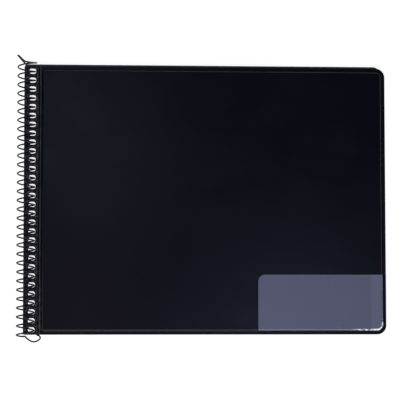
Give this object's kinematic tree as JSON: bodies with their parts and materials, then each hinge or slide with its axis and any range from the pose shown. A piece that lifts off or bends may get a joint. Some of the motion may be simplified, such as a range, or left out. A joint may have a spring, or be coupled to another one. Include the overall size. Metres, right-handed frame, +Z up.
{
  "type": "music folder",
  "caption": "Landscape spiral-bound music folder with stiff welded vinyl covers, clear sleeves and a clear name pocket on the front.",
  "frame": {"origin": "centre of the bottom of the closed folder's box, on the table it lies on", "axes": "+X from the coil towards the free edge, +Y towards the top edge of the pages, +Z up out of the front cover"},
  "size_m": [0.264, 0.2054, 0.0134],
  "materials": {
    "black_vinyl": "fine grained, satin",
    "grey_board": "plain grey cardboard, matte",
    "clear_sleeve": "clear film, glossy",
    "clear_film": "hazy clear film, glossy",
    "black_coated_wire": "glossy black plastic coating on steel wire"
  },
  "bodies": {
    "back": {"back_cover_outer_vinyl": "black_vinyl", "back_cover_board": "grey_board", "back_cover_inner_vinyl": "black_vinyl", "clear_sleeves": "clear_sleeve"},
    "front": {"front_cover_inner_vinyl": "black_vinyl", "front_cover_board": "grey_board", "front_cover_outer_vinyl": "black_vinyl", "name_pocket_film": "clear_film"},
    "coil": {"spiral_wire": "black_coated_wire"}
  },
  "joints": [
    {"name": "front_cover_hinge", "type": "hinge", "parent": "back", "child": "front", "pos_m": [-0.12658, 0, 0.0065], "axis": [0, -1, 0], "range_deg": [0, 180]},
    {"name": "coil_turn", "type": "hinge", "parent": "back", "child": "coil", "pos_m": [-0.12533, 0, 0.0067], "axis": [0, -1, 0], "range_deg": [0, 90]}
  ],
  "couplings": [
    {"joint": "coil_turn", "follows": "front_cover_hinge", "ratio": 0.5}
  ]
}
